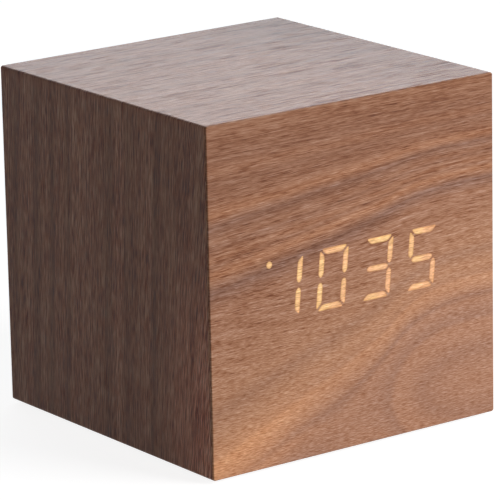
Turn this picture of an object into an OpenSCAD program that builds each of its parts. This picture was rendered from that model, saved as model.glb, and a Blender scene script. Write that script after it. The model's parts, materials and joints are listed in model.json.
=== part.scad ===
// Wooden cube alarm clock with light-emitting figures behind its veneer.
// Millimetres. The front faces -Y, +Z is up, and the origin lies under the middle of the clock,
// on the surface that its feet stand on.

/* [Case] */
// Width of the wooden case, side to side
case_w = 80; // [72:1:110]
// Depth of the wooden case, front to back
case_d = 80; // [72:1:110]
// Height of the wooden case without its feet
case_h = 80; // [72:1:110]
// Thickness of the fibreboard walls
board_t = 5.5; // [4:0.25:6]
// Thickness of the walnut veneer
veneer_t = 0.5; // [0.3:0.1:0.8]
// Radius of the long outer edges
edge_r = 0.6; // [0.3:0.1:1]
// Thickness of the board behind the front veneer
front_t = 5; // [4:0.25:8]
// Depth of the rear cover below the rear edges
rear_recess = 2; // [1.5:0.25:4]

/* [Feet] */
// Diameter of a rubber foot
foot_d = 9; // [6:0.5:14]
// Thickness of a rubber foot
foot_t = 0.8; // [0.5:0.1:3]
// Distance from the case's sides to a foot's centre
foot_inset = 10; // [8:0.5:20]

/* [Display] */
// Time shown, one figure for each place
shown_digits = [1, 0, 3, 5]; // [0:1:9]
// Height of a figure
digit_h = 14.2; // [11:0.1:16]
// Width of a figure before its slant
digit_w = 8.1; // [7:0.1:9]
// Distance between neighbouring figures
digit_pitch = 12.7; // [11.5:0.1:13.2]
// Slant of the figures in degrees
digit_slant = 6; // [0:0.5:8]
// Width of one bar of a figure
bar_t = 1.45; // [1.2:0.05:1.7]
// Gap between neighbouring bars of a figure
bar_gap = 0.4; // [0.3:0.05:0.6]
// Diameter of a dot beside or between the figures
dot_d = 1.6; // [1.3:0.1:2.2]
// Gap between the lit dot and the first figure
dot_gap = 0.45; // [0.4:0.05:1.5]
// Height of the lit dot above the display's middle
dot_z = 6; // [4:0.1:7]
// Height of the two colon dots from the display's middle
colon_z = 3; // [2:0.1:5]
// Height of the display's middle above the middle of the front
display_rise = 0.35; // [0:0.05:2]
// Thickness of the milky film behind the veneer
film_t = 0.3; // [0.2:0.1:0.6]
// Rim of the light mask around the figures
mask_rim = 3; // [2:0.25:3.5]
// Width of the screw lip above and below the light mask
lip_w = 4.5; // [4:0.25:5]
// Thickness of the screw lip of the light mask
lip_t = 1.5; // [1:0.25:3]
// Gap between the display's circuit board and the side walls
display_clear = 1.75; // [1:0.25:4]

/* [Circuit boards] */
// Thickness of both circuit boards
pcb_t = 1.6; // [1:0.2:2]
// Height of the control board
control_h = 13; // [12:0.5:15]
// Gap between the control board and the side walls
control_side = 1; // [0.5:0.1:1.5]
// Length of the clock chip
chip_l = 18; // [10:0.5:20]
// Width of the clock chip
chip_w = 7.5; // [5:0.5:8]
// Height of the clock chip above its board
chip_h = 2.3; // [1.5:0.1:4]
// Length of the quartz crystal's can
crystal_l = 11; // [8:0.5:13]
// Width of the quartz crystal's can
crystal_w = 4.6; // [3:0.1:6]
// Height of the quartz crystal's can
crystal_h = 3.6; // [2:0.1:6]
// Diameter of the buzzer
buzzer_d = 9; // [7:0.5:9.5]
// Height of the buzzer
buzzer_h = 5.2; // [3:0.1:5.8]

/* [Rear cover] */
// Thickness of the rear cover
cover_t = 2.5; // [2.2:0.1:3]
// Gap between the rear cover and the wooden walls
cover_gap = 0.2; // [0.1:0.05:0.5]
// Side of a square corner block
block = 7.5; // [6.5:0.25:8]
// Length of a corner block
block_l = 12; // [10:0.5:20]
// Diameter of a sound hole
sound_hole_d = 1.4; // [0.8:0.1:1.8]
// Radius of the ring of sound holes
sound_ring_r = 2.7; // [2:0.1:3.2]

/* [Screws] */
// Thread diameter of a rear cover screw
cover_screw_d = 2.6; // [2:0.1:3]
// Length of a rear cover screw below its head
cover_screw_l = 9; // [6:0.5:11]
// Head diameter of a rear cover screw
cover_head_d = 5; // [4:0.1:5.6]
// Thread diameter of a circuit board screw
board_screw_d = 1.7; // [1.4:0.1:2]
// Head diameter of a circuit board screw
board_head_d = 3.6; // [3:0.1:4]
// Length that a circuit board screw goes into its seat
board_screw_grip = 3; // [2:0.25:3.5]
// Head height of every screw
head_t = 1.4; // [1:0.1:1.8]
// Room around a thread in its pilot hole
thread_gap = 0.05; // [0.02:0.01:0.1]
// Room around a screw in the hole that it passes through
screw_gap = 0.25; // [0.15:0.05:0.4]

/* [Buttons] */
// Diameter of a button's cap
button_d = 7; // [6:0.1:8]
// Height of a button above the rear cover
button_proud = 1; // [0.7:0.1:1.4]
// Travel of a button
button_travel = 0.5; // [0.2:0.05:0.6]
// Room around a button's cap
button_gap = 0.15; // [0.1:0.05:0.3]
// Distance between neighbouring buttons
button_pitch = 10.8; // [10.5:0.1:12]
// Width of the collar that holds a button in
collar_w = 1; // [0.6:0.1:1.2]
// Thickness of the collar that holds a button in
collar_t = 1; // [0.8:0.1:1.5]
// Gap between a resting button's collar and the cover
collar_gap = 0.1; // [0.05:0.05:0.3]
// Side of a square push switch
switch_w = 6; // [5:0.1:6.5]
// Height of a push switch's housing
switch_h = 3.5; // [3:0.1:5]
// Diameter of a push switch's plunger
plunger_d = 3.5; // [2.5:0.1:4]
// Height of a plunger above its housing
plunger_h = 1.5; // [1:0.1:2]
// Room around a plunger in its housing
plunger_gap = 0.1; // [0.05:0.05:0.2]

/* [Power socket] */
// Outer width of the power socket's shell
socket_w = 7.7; // [7:0.1:9]
// Outer height of the power socket's shell
socket_h = 4; // [3.6:0.1:5]
// Wall of the power socket's shell
socket_wall = 0.4; // [0.3:0.05:0.5]
// Depth of the socket's mouth below the cover's face
socket_depth = 0.4; // [0.2:0.1:1]
// Room around the socket in the rear cover
socket_gap = 0.3; // [0.2:0.05:0.5]
// Width of the contact tongue inside the socket
socket_tongue_w = 4.4; // [3:0.1:5]
// Thickness of the contact tongue inside the socket
socket_tongue_t = 1.1; // [0.7:0.1:1.5]

/* [Batteries] */
// Diameter of a cell
cell_d = 10.5; // [10:0.1:11.8]
// Length of a cell with its positive nub
cell_l = 44.5; // [40:0.1:46]
// Room around a cell
cell_gap = 0.4; // [0.2:0.05:0.6]
// Thickness of a contact plate
contact_t = 0.4; // [0.3:0.05:0.6]
// Compressed length of a contact spring
spring_l = 4.4; // [4:0.1:6]
// Wire diameter of a contact spring
spring_wire = 0.45; // [0.35:0.05:0.5]
// Number of curls of a contact spring
spring_turns = 3; // [2:1:3]
// Wall of the battery box
box_wall = 1.2; // [0.8:0.1:1.6]
// Gap between the battery box and the control board above it
box_gap = 2.5; // [0.5:0.25:4]
// Diameter of a battery lead
lead_d = 1.3; // [1:0.1:1.6]

/* [Battery door] */
// Thickness of the battery door
door_t = 2; // [1.6:0.1:2.2]
// Gap around the battery door
door_gap = 0.25; // [0.2:0.05:0.4]
// Diameter of the door's hinge pins
hinge_pin_d = 1.2; // [1:0.1:1.4]
// Length of a hinge pin inside the rear cover
hinge_pin_l = 1.6; // [1.2:0.1:2.5]
// Radial room of a hinge pin in its bore
hinge_gap = 0.05; // [0.03:0.01:0.08]
// Width of the door's latch tongue
tongue_w = 10; // [8:0.5:16]
// Length of the door's latch tongue
tongue_l = 9; // [6:0.5:14]
// Width of the slots beside the latch tongue
tongue_slot = 0.8; // [0.6:0.1:1.2]

/* [Hidden] */
$fn = 64;
FINE = 0.01;

// Planes of the case
wall = board_t + veneer_t;
front_y = -case_d / 2;
back_y = case_d / 2;
wood_front = front_y + veneer_t;
base_z = foot_t;
mid_z = base_z + case_h / 2;
inner_w = case_w - 2 * wall;
inner_h = case_h - 2 * wall;
inner_bottom = base_z + wall;
inner_top = base_z + case_h - wall;

// Planes of the display, from the veneer inwards
display_z = mid_z + display_rise;
mask_front = wood_front + film_t;
front_board_back = wood_front + front_t;
lip_back = front_board_back + lip_t;
display_back = lip_back + pcb_t;
slant_run = digit_h / 2 * tan(digit_slant);
figures_half_w = 1.5 * digit_pitch + digit_w / 2 + slant_run;
dot_x = 1.5 * digit_pitch + digit_w / 2 - dot_z * tan(digit_slant) + dot_gap + dot_d / 2;
mask_w = 2 * (max(figures_half_w, dot_x + dot_d / 2) + mask_rim);
mask_h = digit_h + 2 * mask_rim;
lip_size = [inner_w - 2 * display_clear, mask_h + 2 * lip_w];
display_screw_at = [lip_size.x / 2 - lip_w / 2, mask_h / 2 + lip_w / 2];
led_size = [1.6, 0.8];
led_t = 0.7;
tip_blunt = 0.6;
middle_tip = bar_gap;

// Planes of the rear cover and of the control board behind it
cover_out = back_y - rear_recess;
cover_in = cover_out - cover_t;
cover_r = 1;
block_x = inner_w / 2 - block / 2;
block_bottom = inner_bottom + block / 2;
block_top = inner_top - block / 2;
head_sink = 1;
button_r = button_d / 2;
button_in = cover_in - collar_gap - collar_t;
control_face = button_in - plunger_h - switch_h;
control_back = control_face - pcb_t;
control_clear = 1.3;
control_z = inner_top - block - control_clear - control_h / 2;
boss_r = 1.8;
board_rim = 0.3;
control_w = inner_w - 2 * control_side;
control_screw_x = control_w / 2 - board_rim - boss_r;
// The buzzer and the socket lie midway between the outer buttons' collars and the board's screws
collars_end = button_pitch + button_r + collar_w;
buzzer_x = (collars_end + control_screw_x - boss_r) / 2;
socket_x = buzzer_x;
plunger_reach = 1;
plunger_spare = 0.3;

// Battery bay, with its cells stacked along Z and lying along X
CELL_COUNT = 3;
bay_w = cell_l + spring_l + 2 * contact_t;
bay_h = CELL_COUNT * cell_d + (CELL_COUNT + 1) * cell_gap;
bay_z = control_z - control_h / 2 - box_gap - box_wall - bay_h;
bay_mid_z = bay_z + bay_h / 2;
floor_gap = 0.1;
cell_y = cover_in - cell_gap / 2 - cell_d / 2;
bay_floor = cell_y - cell_d / 2 - floor_gap;
box_back = bay_floor - box_wall;
nub_d = 3.8;
nub_l = 0.8;
contact_inset = 1;

// Battery door, hinged on two pins along X at its lower edge
knuckle_r = cover_t / 2;
hinge_y = cover_out - knuckle_r;
hinge_z = bay_z + door_gap + knuckle_r;
door_w = bay_w - 2 * door_gap;
door_top = bay_z + bay_h - door_gap;
scoop_rim = 2;
scoop_size = [tongue_w + 2 * scoop_rim, 4];
scoop_depth = 1.2;
grip_ribs = 3;
grip_inset = 1.5;
grip_rib = [tongue_w - 2 * grip_inset, 0.8];
grip_pitch = 1.8;
grip_proud = 0.4;

// Ribbon cable and battery leads
ribbon_w = 8;
ribbon_t = 0.9;
ribbon_x = -8;
ribbon_bends = [17, 17];
plug_size = [10, 5];
plug_l = 4;
front_plug_z = display_z + mask_h / 2 - plug_size.y;
RIBBON_STEPS = 24;
lead_inset = 6;
lead_pitch = 4;
lead_shift = 5;
lead_bends = [10, 14];
LEAD_SIDES = 8;
LEAD_STEPS = 12;

// Shapes shared by several pieces

// A 2-D outline in X and Z, extruded from y0 to y1.
module extrude_y(y0, y1) {
    translate([0, y1, 0]) rotate([90, 0, 0]) linear_extrude(y1 - y0) children();
}

// A cylinder along Y from y0 to y1 at (x, z).
module rod_y(x, z, d, y0, y1) {
    translate([x, y1, z]) rotate([90, 0, 0]) cylinder(d = d, h = y1 - y0);
}

// A rectangle with round corners, centred, as squares and circles so that its arcs stay true.
module rounded_rect(size, r) {
    square([size.x - 2 * r, size.y], center = true);
    square([size.x, size.y - 2 * r], center = true);
    for (sx = [-1, 1], sz = [-1, 1])
        translate([sx * (size.x / 2 - r), sz * (size.y / 2 - r)]) circle(r);
}

// A pan-head screw along Y: its thread runs from seat_y by length in the direction dir.
module screw_y(x, z, seat_y, dir, thread_d, length, head_d) {
    recess_w = head_d / 6;
    recess_l = head_d / 2;
    recess_depth = head_t / 2;
    head_y = seat_y - dir * head_t;
    tip_y = seat_y + dir * length;
    difference() {
        union() {
            rod_y(x, z, head_d, min(seat_y, head_y), max(seat_y, head_y));
            rod_y(x, z, thread_d, min(seat_y, tip_y), max(seat_y, tip_y));
        }
        translate([x, head_y, z]) for (size = [[recess_w, recess_l], [recess_l, recess_w]])
            cube([size.x, 2 * recess_depth, size.y], center = true);
    }
}

// Figures of the display

function digit_x(place) = (place - 1.5) * digit_pitch;
function slanted(p) = [p.x + p.y * tan(digit_slant), p.y];
function flipped(points, sx, sz) = [for (p = points) [p.x * sx, p.y * sz]];

function bar_top() =
    let (w = digit_w / 2 - bar_gap / sqrt(2), h = digit_h / 2, c = tip_blunt)
    [[c - w, h], [w - c, h], [w - c / 2, h - c / 2],
     [w - bar_t, h - bar_t], [bar_t - w, h - bar_t], [c / 2 - w, h - c / 2]];

function bar_side() =
    let (w = digit_w / 2, h = digit_h / 2 - bar_gap / sqrt(2), c = tip_blunt, m = middle_tip)
    [[w, h - c], [w - c / 2, h - c / 2], [w - bar_t, h - bar_t],
     [w - bar_t, m + bar_t / 2], [w - bar_t / 2, m], [w, m + bar_t / 2]];

function bar_middle() =
    let (x = digit_w / 2 - bar_t / 2 + middle_tip - bar_gap * sqrt(2), t = bar_t / 2)
    [[-x, 0], [t - x, t], [x - t, t], [x, 0], [x - t, -t], [t - x, -t]];

// The bars of a figure go by letter: a at the top, b to f clockwise round it, and g in the middle.
BARS = ["a", "b", "c", "d", "e", "f", "g"];
BARS_OF_FIGURE = ["abcdef", "bc", "abged", "abgcd", "fgbc", "afgcd", "afgedc", "abc", "abcdefg", "abcdfg"];
function bar(name) =
    name == "a" ? bar_top() :
    name == "b" ? bar_side() :
    name == "c" ? flipped(bar_side(), 1, -1) :
    name == "d" ? flipped(bar_top(), 1, -1) :
    name == "e" ? flipped(bar_side(), -1, -1) :
    name == "f" ? flipped(bar_side(), -1, 1) : bar_middle();
function bar_lit(place, name) = len(search(name, BARS_OF_FIGURE[shown_digits[place]])) > 0;
function middle_of(points) = [for (k = [0, 1])
    let (values = [for (p = points) p[k]]) (max(values) + min(values)) / 2];

module bar_outline(place, name) {
    translate([digit_x(place), display_z]) polygon([for (p = bar(name)) slanted(p)]);
}

module lit_outlines() {
    for (place = [0:3], name = BARS) if (bar_lit(place, name)) bar_outline(place, name);
    translate([-dot_x, display_z + dot_z]) circle(d = dot_d);
}

module dot_outlines() {
    translate([-dot_x, display_z + dot_z]) circle(d = dot_d);
    for (s = [-1, 1])
        translate([s * colon_z * tan(digit_slant), display_z + s * colon_z]) circle(d = dot_d);
}

// Wooden case

module case_outline() {
    translate([0, mid_z]) rounded_rect([case_w, case_h], edge_r);
}

module veneer_wrap() {
    color("#5b4337") extrude_y(wood_front, back_y) difference() {
        case_outline();
        translate([0, mid_z]) square([case_w - 2 * veneer_t, case_h - 2 * veneer_t], center = true);
    }
}

// A fibreboard wall with mitred ends. outer is the half length of its outer side.
module mitred_board(outer) {
    polygon([[-outer, board_t], [outer, board_t], [outer - board_t, 0], [board_t - outer, 0]]);
}

module wall_board(angle) {
    upright = angle % 180 != 0;
    outer = (upright ? case_h : case_w) / 2 - veneer_t;
    reach = (upright ? inner_w : inner_h) / 2;
    color("#7b6350") extrude_y(wood_front, back_y)
        translate([0, mid_z]) rotate(angle) translate([0, reach]) mitred_board(outer);
}

module top_board() wall_board(0);
module left_board() wall_board(90);
module bottom_board() wall_board(180);
module right_board() wall_board(270);

module front_veneer() {
    color("#a1745a") extrude_y(front_y, wood_front) difference() {
        case_outline();
        lit_outlines();
    }
}

module lit_segments() {
    color("#fcd08f") extrude_y(front_y, wood_front) lit_outlines();
}

module front_board() {
    color("#7b6350") difference() {
        extrude_y(wood_front, front_board_back) difference() {
            translate([0, mid_z]) square([inner_w, inner_h], center = true);
            translate([0, display_z]) square([mask_w, mask_h], center = true);
        }
        display_screw_holes(board_screw_d + 2 * thread_gap,
                            front_board_back - board_screw_grip - thread_gap, front_board_back + FINE);
    }
}

module corner_block(sx, z) {
    color("#b99b74") difference() {
        extrude_y(cover_in - block_l, cover_in)
            translate([sx * block_x, z]) square(block, center = true);
        rod_y(sx * block_x, z, cover_screw_d + 2 * thread_gap,
              cover_out - head_sink - cover_screw_l - thread_gap, cover_in + FINE);
    }
}

module corner_block_top_left() corner_block(-1, block_top);
module corner_block_top_right() corner_block(1, block_top);
module corner_block_bottom_left() corner_block(-1, block_bottom);
module corner_block_bottom_right() corner_block(1, block_bottom);

module foot(sx, sy) {
    color("#1d1d1e") translate([sx * (case_w / 2 - foot_inset), sy * (case_d / 2 - foot_inset), 0])
        cylinder(d = foot_d, h = foot_t);
}

module foot_front_left() foot(-1, -1);
module foot_front_right() foot(1, -1);
module foot_back_left() foot(-1, 1);
module foot_back_right() foot(1, 1);

// Display behind the front veneer

module diffuser_film() {
    color("#f1efe6") extrude_y(wood_front, mask_front)
        translate([0, display_z]) square([mask_w, mask_h], center = true);
}

module display_screw_holes(d, y0, y1) {
    for (sx = [-1, 1], sz = [-1, 1])
        rod_y(sx * display_screw_at.x, display_z + sz * display_screw_at.y, d, y0, y1);
}

module light_mask() {
    color("#26262a") difference() {
        union() {
            extrude_y(mask_front, front_board_back)
                translate([0, display_z]) square([mask_w, mask_h], center = true);
            extrude_y(front_board_back, lip_back) translate([0, display_z]) square(lip_size, center = true);
        }
        extrude_y(mask_front - FINE, lip_back + FINE) {
            for (place = [0:3], name = BARS) bar_outline(place, name);
            dot_outlines();
        }
        display_screw_holes(board_screw_d + 2 * screw_gap, front_board_back - FINE, lip_back + FINE);
    }
}

module led(x, z, size) {
    translate([x, lip_back - led_t / 2, z]) cube([size.x, led_t, size.y], center = true);
}

module segment_leds() {
    color("#f4e3b0") {
        for (place = [0:3], name = BARS) {
            c = slanted(middle_of(bar(name)));
            lies = name == "a" || name == "d" || name == "g";
            led(digit_x(place) + c.x, display_z + c.y, lies ? led_size : [led_size.y, led_size.x]);
        }
        led(-dot_x, display_z + dot_z, [led_size.y, led_size.y]);
        for (s = [-1, 1])
            led(s * colon_z * tan(digit_slant), display_z + s * colon_z, [led_size.y, led_size.y]);
    }
}

module display_board() {
    color("#1f5b3a") difference() {
        extrude_y(lip_back, display_back) translate([0, display_z]) square(lip_size, center = true);
        display_screw_holes(board_screw_d + 2 * screw_gap, lip_back - FINE, display_back + FINE);
    }
}

module display_screws() {
    color("#b9bcc0") for (sx = [-1, 1], sz = [-1, 1])
        screw_y(sx * display_screw_at.x, display_z + sz * display_screw_at.y, display_back, -1,
                board_screw_d, pcb_t + lip_t + board_screw_grip, board_head_d);
}

module clock_chip() {
    pins = 14;
    pin = [0.4, 1];
    pin_t = 0.3;
    pin_pitch = chip_l / pins;
    color("#202124") translate([0, display_back, display_z - mask_h / 4]) {
        translate([-chip_l / 2, 0, -chip_w / 2]) cube([chip_l, chip_h, chip_w]);
        for (k = [0:pins - 1], s = [-1, 1])
            translate([(k - (pins - 1) / 2) * pin_pitch, pin_t / 2, s * (chip_w + pin.y) / 2])
                cube([pin.x, pin_t, pin.y], center = true);
    }
}

module quartz_crystal() {
    base_rim = 0.4;
    base_t = 0.5;
    crystal_at = [mask_w / 2 - crystal_l / 2, display_z - mask_h / 4];
    color("#c9ccd1") {
        extrude_y(display_back, display_back + base_t) translate(crystal_at)
            rounded_rect([crystal_l + 2 * base_rim, crystal_w + 2 * base_rim], crystal_w / 2);
        extrude_y(display_back + base_t, display_back + crystal_h) translate(crystal_at)
            rounded_rect([crystal_l, crystal_w], crystal_w / 2 - FINE);
    }
}

// Rear cover, its screws and the control board

function button_x(k) = (k - 1) * button_pitch;

module socket_outline(grow) {
    w = socket_w / 2 + grow;
    h = socket_h / 2 + grow;
    chamfer = socket_h / 4;
    polygon([[-w, h], [w, h], [w, chamfer - h], [w - chamfer, -h], [chamfer - w, -h], [-w, chamfer - h]]);
}

module control_holes(d, y0, y1) {
    for (s = [-1, 1]) rod_y(s * control_screw_x, control_z, d, y0, y1);
}

module rear_cover() {
    color("#1b1b1d") difference() {
        union() {
            extrude_y(cover_in, cover_out) translate([0, mid_z])
                rounded_rect([inner_w - 2 * cover_gap, inner_h - 2 * cover_gap], cover_r);
            control_holes(2 * boss_r, control_face, cover_in);
        }
        extrude_y(cover_in - FINE, cover_out + FINE) {
            translate([0, bay_mid_z]) square([bay_w, bay_h], center = true);
            translate([socket_x, control_z]) socket_outline(socket_gap);
        }
        for (k = [0:2])
            rod_y(button_x(k), control_z, button_d + 2 * button_gap, cover_in - FINE, cover_out + FINE);
        sound_holes();
        cover_screw_seats();
        control_holes(board_screw_d + 2 * thread_gap, control_face - FINE,
                      control_face + board_screw_grip + thread_gap);
        hinge_bores();
        finger_scoop();
    }
}

module sound_holes() {
    ring = 6;
    rod_y(-buzzer_x, control_z, sound_hole_d, cover_in - FINE, cover_out + FINE);
    for (k = [0:ring - 1]) {
        angle = k * 360 / ring;
        rod_y(-buzzer_x + sound_ring_r * cos(angle), control_z + sound_ring_r * sin(angle), sound_hole_d,
              cover_in - FINE, cover_out + FINE);
    }
}

module cover_screw_seats() {
    for (sx = [-1, 1], z = [block_bottom, block_top]) {
        rod_y(sx * block_x, z, cover_screw_d + 2 * screw_gap, cover_in - FINE, cover_out + FINE);
        rod_y(sx * block_x, z, cover_head_d + 2 * screw_gap, cover_out - head_sink, cover_out + FINE);
    }
}

module hinge_bores() {
    length = bay_w + 2 * (hinge_pin_l + hinge_gap);
    translate([-length / 2, hinge_y, hinge_z]) rotate([0, 90, 0])
        cylinder(d = hinge_pin_d + 2 * hinge_gap, h = length);
}

module finger_scoop() {
    extrude_y(cover_out - scoop_depth, cover_out + FINE)
        translate([0, bay_z + bay_h + scoop_size.y / 2 - FINE])
            square([scoop_size.x, scoop_size.y], center = true);
}

module rear_cover_screws() {
    color("#2b2b2e") for (sx = [-1, 1], z = [block_bottom, block_top])
        screw_y(sx * block_x, z, cover_out - head_sink, -1, cover_screw_d, cover_screw_l, cover_head_d);
}

module control_board() {
    color("#1f5b3a") difference() {
        extrude_y(control_back, control_face)
            translate([0, control_z]) square([control_w, control_h], center = true);
        control_holes(board_screw_d + 2 * screw_gap, control_back - FINE, control_face + FINE);
    }
}

module control_board_screws() {
    color("#b9bcc0") for (s = [-1, 1])
        screw_y(s * control_screw_x, control_z, control_back, 1,
                board_screw_d, pcb_t + board_screw_grip, board_head_d);
}

module buzzer() {
    port_d = 2;
    port_depth = 0.8;
    top = control_face + buzzer_h;
    color("#161618") difference() {
        rod_y(-buzzer_x, control_z, buzzer_d, control_face, top);
        rod_y(-buzzer_x, control_z, port_d, top - port_depth, top + FINE);
    }
}

// Push buttons, from the cap on the cover down to the switch on the control board

mark_depth = 0.3;
mark_r = 1.7;
mark_line = 0.7;
cap_edge_r = 0.5;

// A button's cap turned about its own axis, with a round edge and a collar inside the cover.
module button_cap(k) {
    top = cover_out + button_proud - button_in;
    translate([button_x(k), button_in, control_z]) rotate([-90, 0, 0]) rotate_extrude() union() {
        square([button_r + collar_w, collar_t]);
        square([button_r, top - cap_edge_r]);
        square([button_r - cap_edge_r, top]);
        translate([button_r - cap_edge_r, top - cap_edge_r]) circle(cap_edge_r);
    }
}

// A cut mark on a button's face: an arrow up or down, or a ring.
module button_mark(k) {
    face = cover_out + button_proud;
    extrude_y(face - mark_depth, face + FINE) translate([button_x(k), control_z]) {
        if (k == 0) difference() {
            circle(mark_r);
            circle(mark_r - mark_line);
        } else rotate(k == 1 ? 90 : -90) circle(mark_r, $fn = 3);
    }
}

module button(k) {
    color("#2a2a2d") difference() {
        button_cap(k);
        button_mark(k);
    }
}

switch_top = control_face + switch_h;
plunger_tip = switch_top - plunger_reach;

module plunger(k) {
    color("#d8d5cb") rod_y(button_x(k), control_z, plunger_d, plunger_tip, button_in);
}

module push_switch(k) {
    bore_bottom = plunger_tip - button_travel - plunger_spare;
    color("#3a3d42") difference() {
        extrude_y(control_face, switch_top)
            translate([button_x(k), control_z]) square(switch_w, center = true);
        rod_y(button_x(k), control_z, plunger_d + 2 * plunger_gap, bore_bottom, switch_top + FINE);
    }
}

module set_button() button(0);
module up_button() button(1);
module down_button() button(2);
module set_plunger() plunger(0);
module up_plunger() plunger(1);
module down_plunger() plunger(2);
module set_switch() push_switch(0);
module up_switch() push_switch(1);
module down_switch() push_switch(2);

// Power socket, standing on the control board with its mouth in the rear cover

socket_base = 2;
socket_tongue_sink = 1.5;

module socket_shell() {
    color("#c4c7cc") extrude_y(control_face, cover_out - socket_depth)
        translate([socket_x, control_z]) difference() {
            socket_outline(0);
            socket_outline(-socket_wall);
        }
}

module socket_tongue() {
    tip = cover_out - socket_depth - socket_tongue_sink;
    color("#151517") translate([socket_x, 0, control_z]) {
        extrude_y(control_face, control_face + socket_base) socket_outline(-socket_wall);
        extrude_y(control_face + socket_base, tip)
            square([socket_tongue_w, socket_tongue_t], center = true);
    }
}

// Battery box, cells and contacts

function cell_z(k) = bay_z + cell_gap + cell_d / 2 + k * (cell_d + cell_gap);
// Neighbouring cells lie opposite ways round: +1 has its positive end towards +X.
function cell_way(k) = k % 2 == 0 ? 1 : -1;

module battery_box() {
    color("#1b1b1d") difference() {
        extrude_y(box_back, cover_in) translate([0, bay_mid_z])
            square([bay_w + 2 * box_wall, bay_h + 2 * box_wall], center = true);
        extrude_y(bay_floor, cover_in + FINE) translate([0, bay_mid_z])
            square([bay_w, bay_h], center = true);
    }
}

module battery_cell(k) {
    way = cell_way(k);
    positive_end = way * (bay_w / 2 - contact_t);
    color("#b8863a") translate([positive_end, cell_y, cell_z(k)]) rotate([0, -90 * way, 0]) {
        cylinder(d = nub_d, h = nub_l);
        translate([0, 0, nub_l]) cylinder(d = cell_d, h = cell_l - nub_l);
    }
}

module battery_cell_lower() battery_cell(0);
module battery_cell_middle() battery_cell(1);
module battery_cell_upper() battery_cell(2);

module battery_contacts() {
    plate = cell_d - 2 * contact_inset;
    color("#cfd2d6") for (k = [0:CELL_COUNT - 1], s = [-1, 1])
        translate([s * (bay_w - contact_t) / 2, cell_y, cell_z(k)])
            cube([contact_t, plate, plate], center = true);
}

// A tube of sides facets along points. ref gives one direction across the tube at each point.
function tangent(points, i) =
    let (n = len(points), d = points[min(i + 1, n - 1)] - points[max(i - 1, 0)]) d / norm(d);
function across(t, ref) = let (v = ref - (ref * t) * t) v / norm(v);
function tube_ring(points, refs, r, sides, i) =
    let (t = tangent(points, i), u = across(t, refs[i]), v = cross(t, u))
    [for (k = [0:sides - 1]) points[i] + r * (cos(360 * k / sides) * u + sin(360 * k / sides) * v)];

module tube(points, refs, d, sides) {
    n = len(points);
    rings = [for (i = [0:n - 1]) each tube_ring(points, refs, d / 2, sides, i)];
    side_faces = [for (i = [0:n - 2], k = [0:sides - 1])
        let (a = i * sides + k, b = i * sides + (k + 1) % sides)
        each [[a, a + sides, b], [b, a + sides, b + sides]]];
    first_cap = [for (k = [1:sides - 2]) [0, k, k + 1]];
    last = (n - 1) * sides;
    last_cap = [for (k = [1:sides - 2]) [last, last + k + 1, last + k]];
    polyhedron(rings, concat(side_faces, first_cap, last_cap), convexity = 6);
}

// A conical contact spring along +X from x = 0, with straight ends that meet the plate and the cell.
spring_r = [3.5, 2.3];
RINGS_PER_CURL = 8;
SPRING_SIDES = 6;
spring_rings = RINGS_PER_CURL * spring_turns;
function spring_angle(i) = 360 * i / RINGS_PER_CURL;
function spring_radius(i) = spring_r[0] + (spring_r[1] - spring_r[0]) * i / spring_rings;
function spring_ref(i) = [0, cos(spring_angle(i)), sin(spring_angle(i))];
function spring_point(i, x) = [x, 0, 0] + spring_radius(i) * spring_ref(i);
spring_end = 1.5 * spring_wire;
spring_curls = [for (i = [0:spring_rings])
    spring_point(i, spring_end + (spring_l - 2 * spring_end) * i / spring_rings)];
spring_path = concat([spring_point(0, 0)], spring_curls, [spring_point(spring_rings, spring_l)]);
spring_refs = [for (i = [-1:spring_rings + 1]) spring_ref(max(0, min(spring_rings, i)))];
spring_self_gap = min([for (i = [0:spring_rings], j = [0:spring_rings])
    if (j >= i + RINGS_PER_CURL / 2) norm(spring_curls[j] - spring_curls[i])]) - spring_wire;
echo(least_gap_between_spring_curls = spring_self_gap);

module battery_springs() {
    color("#cfd2d6") for (k = [0:CELL_COUNT - 1])
        translate([-cell_way(k) * (bay_w / 2 - contact_t), cell_y, cell_z(k)])
            rotate([0, 0, cell_way(k) > 0 ? 0 : 180])
                tube(spring_path, spring_refs, spring_wire, SPRING_SIDES);
}

// Battery door

module door_outline() {
    difference() {
        translate([-door_w / 2, hinge_z]) square([door_w, door_top - hinge_z]);
        for (s = [-1, 1])
            translate([(s * (tongue_w + tongue_slot) - tongue_slot) / 2, door_top - tongue_l])
                square([tongue_slot, tongue_l + FINE]);
    }
}

module battery_door() {
    pin_length = bay_w + 2 * hinge_pin_l;
    color("#1e1e20") {
        extrude_y(cover_out - door_t, cover_out) door_outline();
        translate([-door_w / 2, hinge_y, hinge_z]) rotate([0, 90, 0]) cylinder(r = knuckle_r, h = door_w);
        translate([-pin_length / 2, hinge_y, hinge_z]) rotate([0, 90, 0])
            cylinder(d = hinge_pin_d, h = pin_length);
        extrude_y(cover_out - FINE, cover_out + grip_proud) for (k = [1:grip_ribs])
            translate([0, door_top - k * grip_pitch]) square(grip_rib, center = true);
    }
}

// Battery leads and the ribbon cable between the two circuit boards

function bezier(p, t) =
    pow(1 - t, 3) * p[0] + 3 * pow(1 - t, 2) * t * p[1] + 3 * (1 - t) * t * t * p[2] + pow(t, 3) * p[3];

// Points from start to end, which leave both along out, straight for stub and then in one curve.
function bent_route(start, end, out, stub, bends, steps) =
    let (a = start + stub * out[0], b = end + stub * out[1])
    let (curve = [a, a + bends[0] * out[0], b + bends[1] * out[1], b])
    concat([start], [for (i = [0:steps]) bezier(curve, i / steps)], [end]);

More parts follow.
